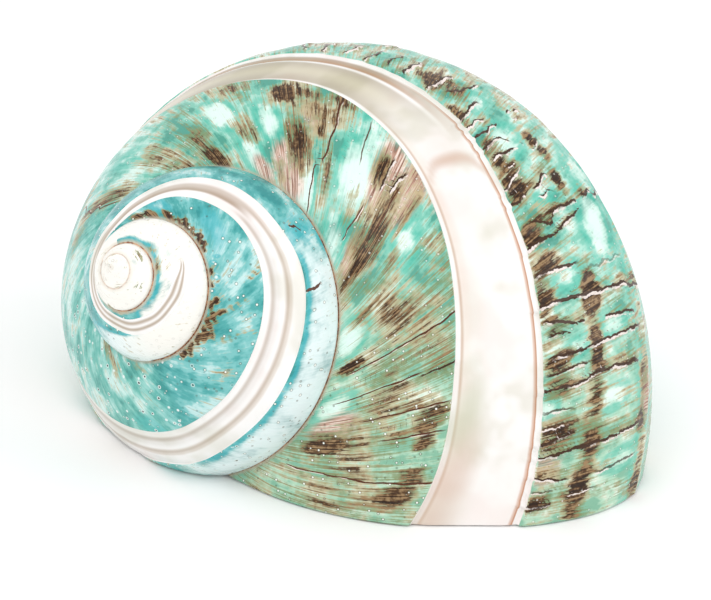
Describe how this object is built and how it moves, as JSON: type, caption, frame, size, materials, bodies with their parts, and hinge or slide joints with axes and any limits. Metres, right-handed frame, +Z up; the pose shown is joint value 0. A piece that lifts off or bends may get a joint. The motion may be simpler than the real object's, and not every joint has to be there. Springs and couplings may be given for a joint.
{
  "type": "turban shell",
  "caption": "Polished sea snail shell with a low spire, green whorls and a ground pearl band, lying on its open mouth.",
  "frame": {"origin": "on the surface the shell rests on, under the middle of its box", "axes": "+Z up, with the lip flat on Z = 0; the spire points towards -X and -Y and slightly up; +Y is away from the viewer of the front"},
  "size_m": [0.0608, 0.047, 0.0373],
  "materials": {
    "polished_shell": "polished shell: sea-green outer layer streaked with brown, and white mother of pearl where a band of it is ground away"
  },
  "bodies": {
    "root": {"turban_shell": "polished_shell"}
  },
  "joints": []
}
